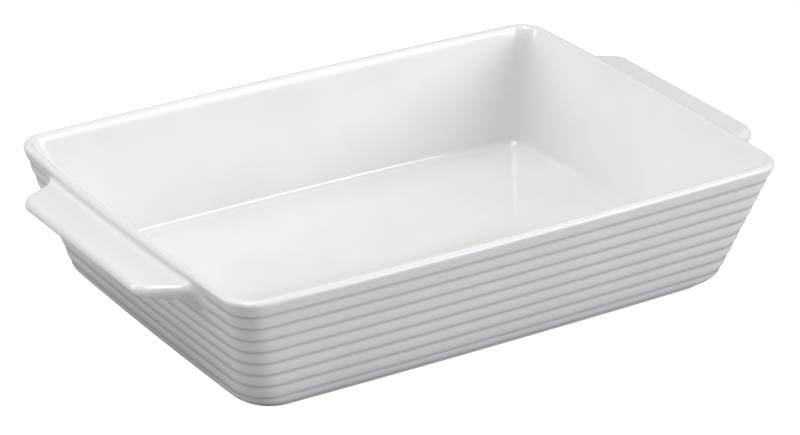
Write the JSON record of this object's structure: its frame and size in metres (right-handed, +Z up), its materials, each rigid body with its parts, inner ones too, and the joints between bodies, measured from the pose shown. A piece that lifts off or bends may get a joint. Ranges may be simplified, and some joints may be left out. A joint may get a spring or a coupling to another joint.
{
  "type": "lasagna dish",
  "caption": "Deep rectangular baking dish in white glazed ceramic: flared walls with horizontal ribs, a round smooth rim, a flat smooth floor and a ledge handle on each short end.",
  "frame": {"origin": "middle of the foot ring's resting plane, under the centre of the dish", "axes": "+X along the length towards the right handle, +Y across the dish, +Z up"},
  "size_m": [0.388, 0.243, 0.075],
  "materials": {
    "white_glaze": "glossy clear glaze over a white body"
  },
  "bodies": {
    "root": {"dish_body": "white_glaze", "handle_right": "white_glaze", "handle_left": "white_glaze"}
  },
  "joints": []
}
